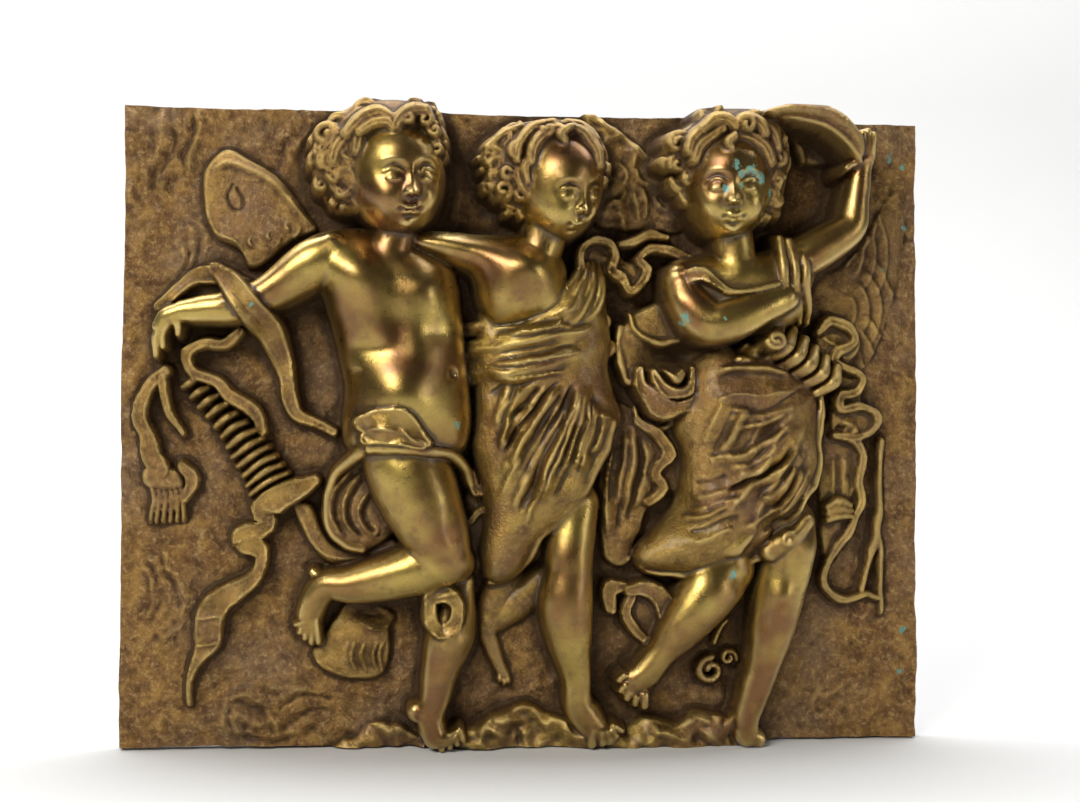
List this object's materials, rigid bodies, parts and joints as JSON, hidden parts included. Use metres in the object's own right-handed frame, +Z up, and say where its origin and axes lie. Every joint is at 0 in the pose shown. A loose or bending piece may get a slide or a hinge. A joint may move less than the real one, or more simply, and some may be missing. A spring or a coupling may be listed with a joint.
{
  "type": "relief plaque",
  "caption": "Rectangular cast relief plaque with dancing winged children, drapery and a tambourine in high relief, flat at the back for fixing to a wall or a panel.",
  "frame": {"origin": "middle of the flat back face, which bears on the wall", "axes": "+X to the viewer's right along the long side, +Y into the wall, +Z up; the relief stands towards -Y"},
  "size_m": [0.254, 0.0355, 0.2007],
  "materials": {
    "bronze": "aged cast bronze: rubbed olive gold on the figures, brown and black in the hollows, specks of verdigris"
  },
  "bodies": {
    "root": {"relief_plaque": "bronze"}
  },
  "joints": []
}
